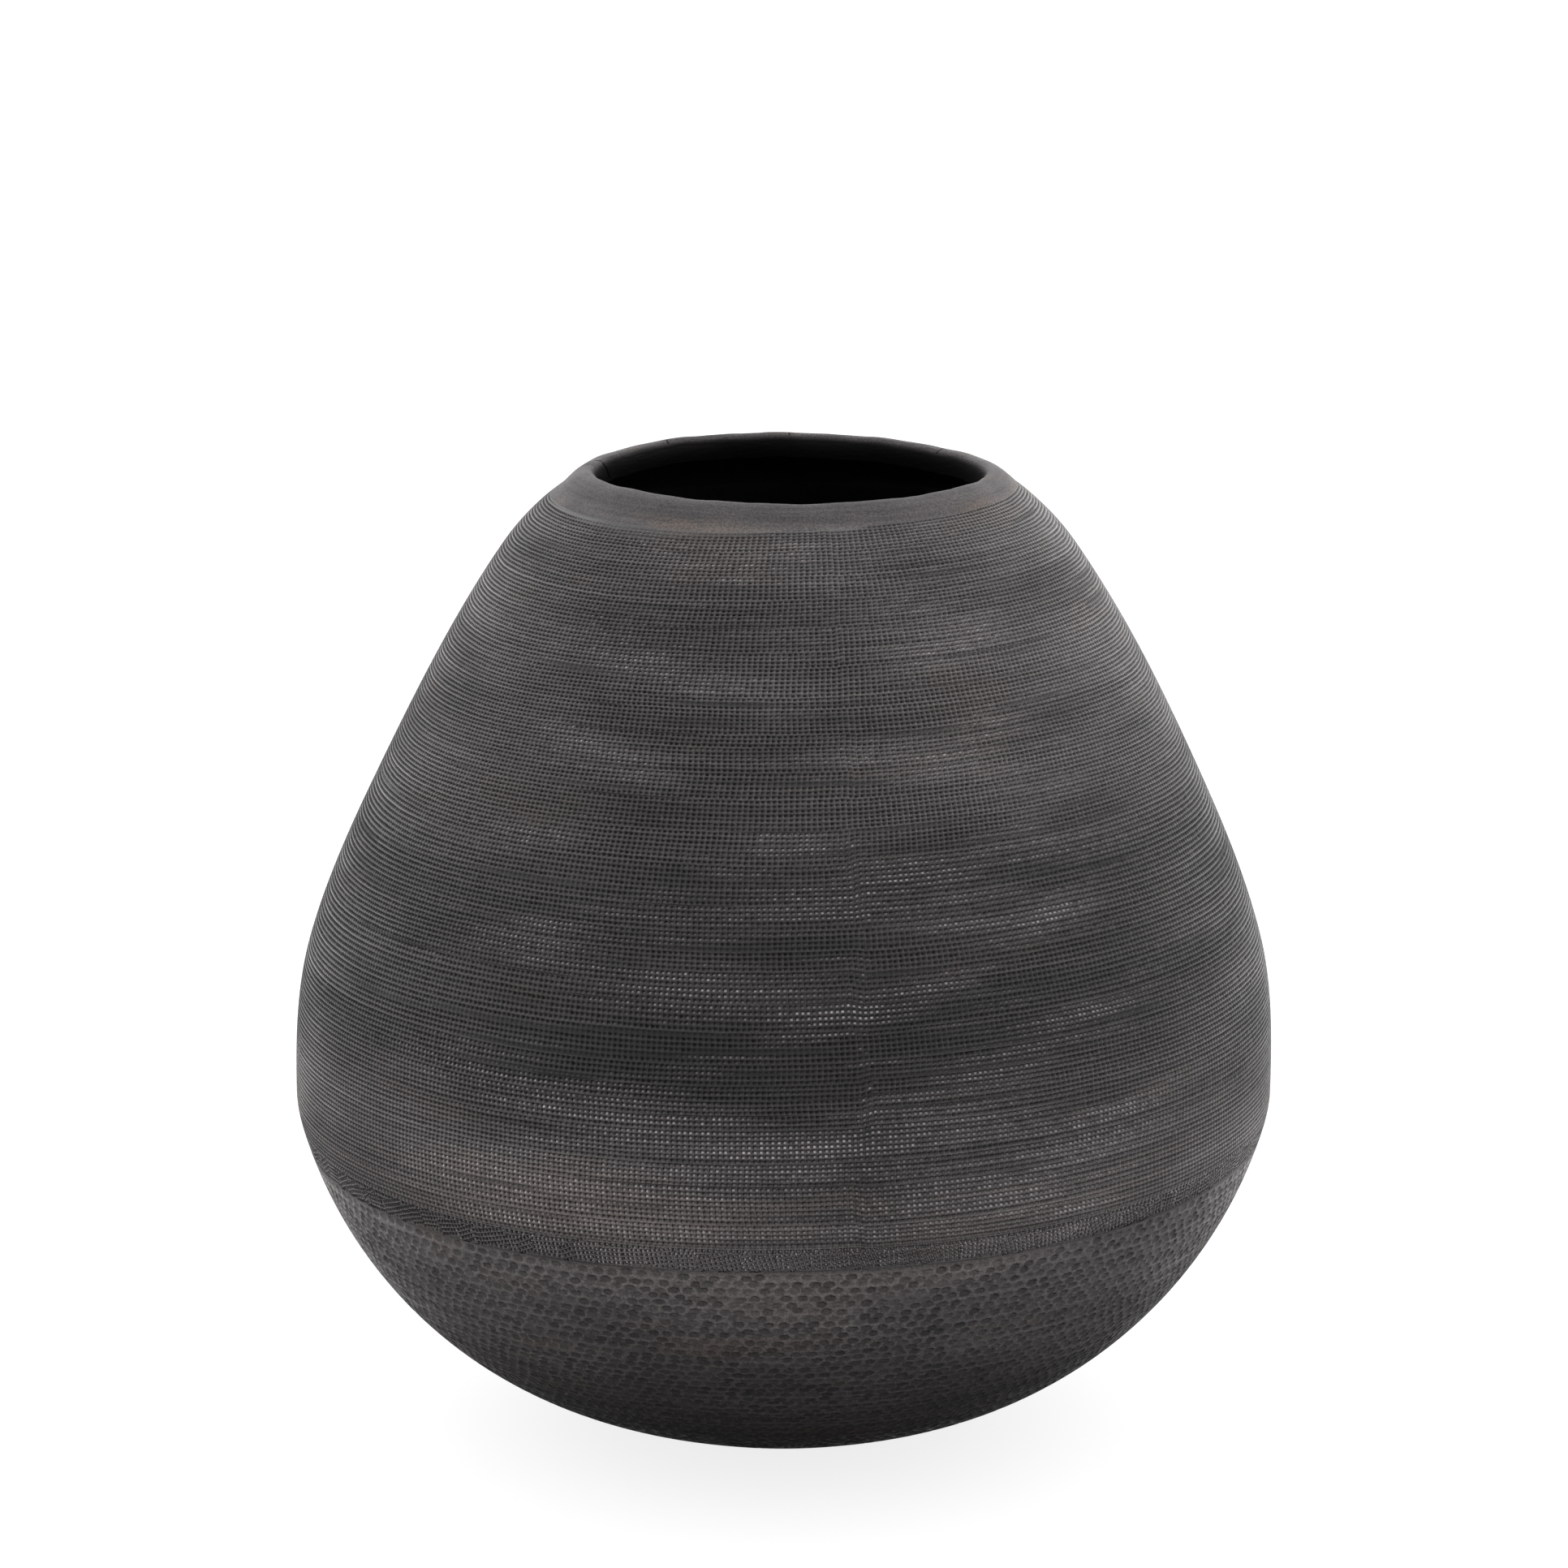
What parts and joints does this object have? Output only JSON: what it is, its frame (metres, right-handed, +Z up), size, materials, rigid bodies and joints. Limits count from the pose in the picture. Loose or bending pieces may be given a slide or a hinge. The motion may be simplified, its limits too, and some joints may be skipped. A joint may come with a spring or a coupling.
{
  "type": "barro negro black clay pot",
  "caption": "Hand-built black clay pot: dimpled round bowl, wide belly, straight tapering flanks with roulette-pressed texture and a round open mouth with a rolled lip.",
  "frame": {"origin": "centre of the flat underside that the pot rests on", "axes": "+Z up along the pot's axis of turning, towards the mouth; the best-known side faces -Y"},
  "size_m": [0.32, 0.32, 0.3155],
  "materials": {
    "dimpled_clay": "reduction-fired black clay, dimpled with a blunt tool, matt to satin",
    "rouletted_clay": "reduction-fired black clay, pressed with rows of small square pits, graphite satin sheen with cloudy brown-grey patches",
    "burnished_clay": "reduction-fired black clay, wiped and burnished smooth, warm grey satin"
  },
  "bodies": {
    "root": {"base_pad": "dimpled_clay", "lower_bowl": "dimpled_clay", "belly_course": "rouletted_clay", "lower_flank_course": "rouletted_clay", "upper_flank_course": "rouletted_clay", "shoulder_course": "rouletted_clay", "lip_coil": "burnished_clay"}
  },
  "joints": []
}
